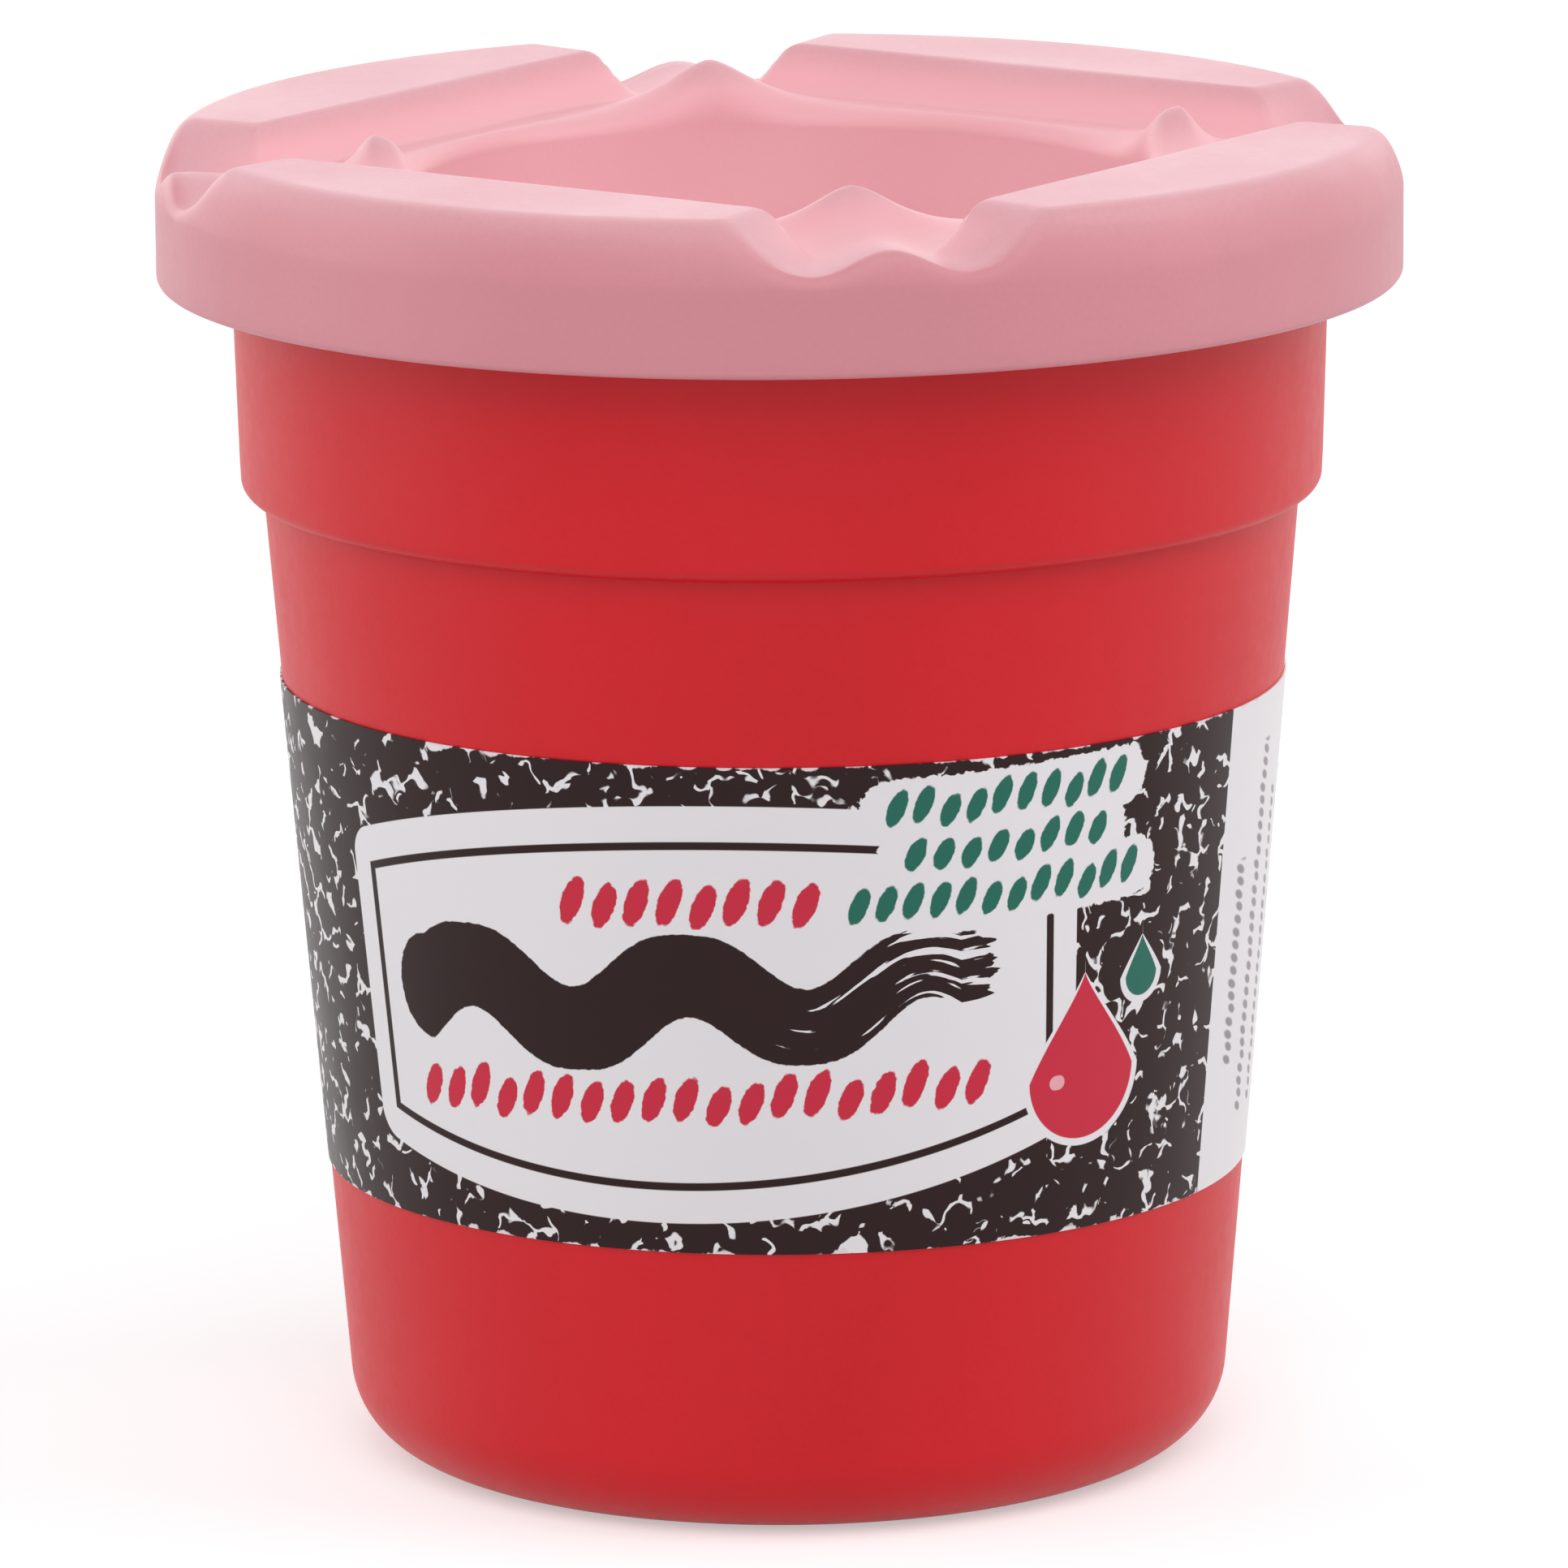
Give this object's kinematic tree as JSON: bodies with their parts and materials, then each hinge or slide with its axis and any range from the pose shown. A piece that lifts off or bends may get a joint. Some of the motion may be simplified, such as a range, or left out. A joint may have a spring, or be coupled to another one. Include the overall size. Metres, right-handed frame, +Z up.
{
  "type": "paint cup with lid",
  "caption": "Tapered paint cup with a stacking shoulder, a wrap label and a push-on lid whose notched crown holds brushes round a spill-proof funnel.",
  "frame": {"origin": "middle of the face that the cup stands on", "axes": "+Z up along the cup's axis, -Y towards the middle of the printed front, +X to the right of someone facing that front"},
  "size_m": [0.076, 0.076, 0.0823],
  "materials": {
    "cup_plastic": "fine matte moulded red",
    "label_print": "satin printed film, black marbling and white plate",
    "lid_plastic": "fine matte moulded pink"
  },
  "bodies": {
    "cup": {"cup": "cup_plastic", "label": "label_print"},
    "lid": {"lid": "lid_plastic"}
  },
  "joints": [
    {"name": "lid_lift", "type": "slide", "parent": "cup", "child": "lid", "axis": [0, 0, 1], "range_m": [0, 0.045]}
  ]
}
